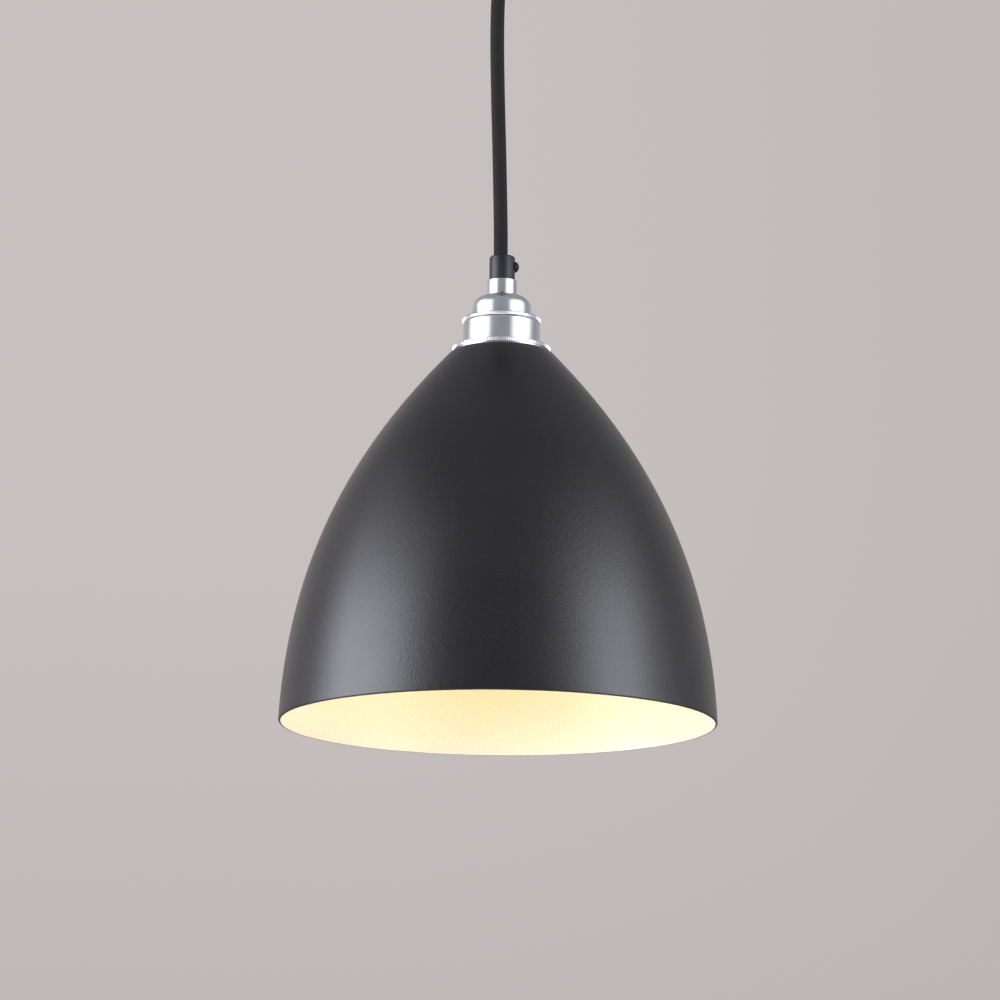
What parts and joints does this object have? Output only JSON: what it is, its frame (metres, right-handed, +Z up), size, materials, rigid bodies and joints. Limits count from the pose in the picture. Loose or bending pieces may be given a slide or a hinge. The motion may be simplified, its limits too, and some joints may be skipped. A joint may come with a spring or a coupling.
{
  "type": "pendant ceiling light",
  "caption": "Pendant light: bell-shaped metal shade clamped on a screw lampholder that hangs by a braided flex from a round ceiling rose.",
  "frame": {"origin": "centre of the mounting strap's top face, which bears on the ceiling", "axes": "+Z up into the ceiling, the lamp hanging towards -Z; +X towards the two cord grips' side screws; -Y towards the viewer"},
  "size_m": [0.21, 0.21, 0.4632],
  "materials": {
    "shade_black": "matt black powder coat with a fine speckle outside, warm white enamel inside",
    "rose_black": "matt black powder coat",
    "polished_aluminium": "machined and polished, straight knurls on the ring edges",
    "black_nylon": "moulded nylon, slight sheen",
    "black_braid": "braided textile sleeve over a round flex",
    "zinc_steel": "zinc-plated",
    "brass": "machined brass",
    "white_nylon": "moulded, matt",
    "porcelain": "glazed white",
    "brown_sleeve": "smooth insulation",
    "blue_sleeve": "smooth insulation",
    "earth_sleeve": "green insulation with a yellow stripe",
    "nickel": "nickel-plated brass",
    "black_glass": "fused glass, glossy",
    "opal": "frosted opal, lit warm white",
    "circuit_board": "white solder mask"
  },
  "bodies": {
    "rose": {"mounting_strap": "zinc_steel", "rose_cup": "rose_black", "cup_screw_left": "zinc_steel", "cup_screw_right": "zinc_steel", "rose_grip_nut": "zinc_steel", "terminal_block": "white_nylon", "terminal_insert_live": "brass", "terminal_screw_live": "zinc_steel", "rose_core_live": "brown_sleeve", "terminal_insert_neutral": "brass", "terminal_screw_neutral": "zinc_steel", "rose_core_neutral": "blue_sleeve", "terminal_insert_earth": "brass", "terminal_screw_earth": "zinc_steel", "rose_core_earth": "earth_sleeve", "block_screw": "zinc_steel", "strap_earth_screw": "brass", "rose_grip": "black_nylon", "rose_grip_screw": "black_nylon", "rose_flex_tail": "black_braid"},
    "flex": {"flex": "black_braid"},
    "lamp": {"lamp_grip": "black_nylon", "lamp_grip_screw": "black_nylon", "lamp_flex_tail": "black_braid", "lamp_core_live": "brown_sleeve", "lamp_core_neutral": "blue_sleeve", "lamp_core_earth": "earth_sleeve", "holder_cap": "polished_aluminium", "cap_lock_screw": "zinc_steel", "union_ring": "polished_aluminium", "holder_skirt": "polished_aluminium", "upper_shade_ring": "polished_aluminium", "lower_shade_ring": "polished_aluminium", "shade": "shade_black", "porcelain_insert": "porcelain", "earth_ring": "brass", "earth_ring_screw": "brass", "pillar_live": "brass", "pillar_neutral": "brass", "pillar_screw_live": "zinc_steel", "pillar_screw_neutral": "zinc_steel", "centre_contact": "brass", "side_contact": "brass", "screw_shell": "nickel"},
    "bulb_foot": {"bulb_foot_contact": "nickel", "bulb_foot_insulator": "black_glass"},
    "bulb": {"bulb_cap_shell": "nickel", "bulb_collar": "white_nylon", "bulb_globe": "opal", "led_board": "circuit_board", "driver_board": "circuit_board"}
  },
  "joints": [
    {"name": "flex_swing", "type": "hinge", "parent": "rose", "child": "flex", "pos_m": [-0.0008, 0, -0.0422], "axis": [0, 1, 0], "range_deg": [-25, 25]},
    {"name": "lamp_tilt", "type": "hinge", "parent": "flex", "child": "lamp", "pos_m": [-0.0008, 0, -0.2322], "axis": [1, 0, 0], "range_deg": [-15, 15]},
    {"name": "bulb_travel", "type": "slide", "parent": "lamp", "child": "bulb_foot", "axis": [0, 0, -1], "range_m": [0, 0.0109]},
    {"name": "bulb_turn", "type": "hinge", "parent": "bulb_foot", "child": "bulb", "pos_m": [0, 0, -0.29], "axis": [0, 0, -1], "range_deg": [0, 1080]}
  ],
  "couplings": [
    {"joint": "bulb_travel", "follows": "bulb_turn", "m_per_rad": 0.00057757}
  ]
}
